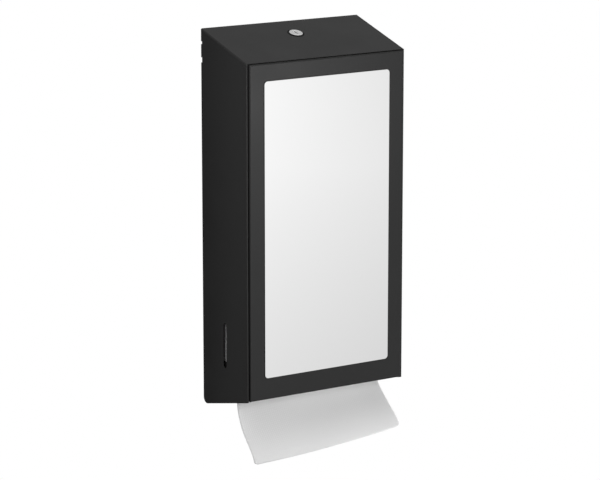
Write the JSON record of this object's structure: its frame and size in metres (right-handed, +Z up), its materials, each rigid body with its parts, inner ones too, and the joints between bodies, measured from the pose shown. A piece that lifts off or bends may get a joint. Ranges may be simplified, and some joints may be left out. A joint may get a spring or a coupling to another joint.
{
  "type": "towel dispenser with mirror",
  "caption": "Wall-hung folded-towel dispenser with a mirror in its front; the locked hood tilts out for refilling and towels pull out of a slot underneath.",
  "frame": {"origin": "middle of the four wall screws, on the wall plane", "axes": "+X to the right seen from the room, +Y into the wall, +Z up"},
  "size_m": [0.27, 0.1286, 0.6274],
  "materials": {
    "black_coat": "fine-textured satin powder coat",
    "mirror_glass": "silvered glass",
    "lock_chrome": "bright plate, worn",
    "zinc_steel": "zinc plated",
    "white_paper": "embossed towel paper",
    "foam": "closed-cell foam",
    "board": "smooth hardboard",
    "nylon": "natural",
    "black_plastic": "moulded",
    "stacked_paper": "loosely folded towel paper"
  },
  "bodies": {
    "wall": {"wall_plate": "black_coat", "lock_catch": "zinc_steel"},
    "hood": {"hood_shell": "black_coat", "front_frame": "black_coat", "mirror_tape": "foam", "mirror": "mirror_glass", "mirror_backing": "board", "mirror_clips": "zinc_steel", "clip_studs": "zinc_steel", "clip_nuts": "zinc_steel", "towel_tray": "black_coat", "mounting_studs": "zinc_steel", "stud_spacers": "zinc_steel", "stud_nuts": "zinc_steel", "hinge_pins": "zinc_steel", "hinge_washers": "nylon", "hinge_clips": "zinc_steel", "stop_studs": "zinc_steel", "lock_bezel": "black_plastic", "lock_housing": "lock_chrome", "lock_washer": "zinc_steel", "lock_nut": "zinc_steel", "towel_stack": "stacked_paper"},
    "lock": {"lock_plug": "lock_chrome", "lock_cam": "zinc_steel", "cam_screw": "zinc_steel"},
    "towel": {"hanging_towel": "white_paper"}
  },
  "joints": [
    {"name": "hood_tilt", "type": "hinge", "parent": "wall", "child": "hood", "pos_m": [0, -0.01, -0.27934], "axis": [1, 0, 0], "range_deg": [0, 55]},
    {"name": "lock_turn", "type": "hinge", "parent": "hood", "child": "lock", "pos_m": [0, -0.043, 0.25662], "axis": [0, 0.2768, -0.9609], "range_deg": [0, 90]},
    {"name": "towel_pull", "type": "slide", "parent": "hood", "child": "towel", "axis": [0, -0.443, -0.8965], "range_m": [0, 0.13]}
  ]
}
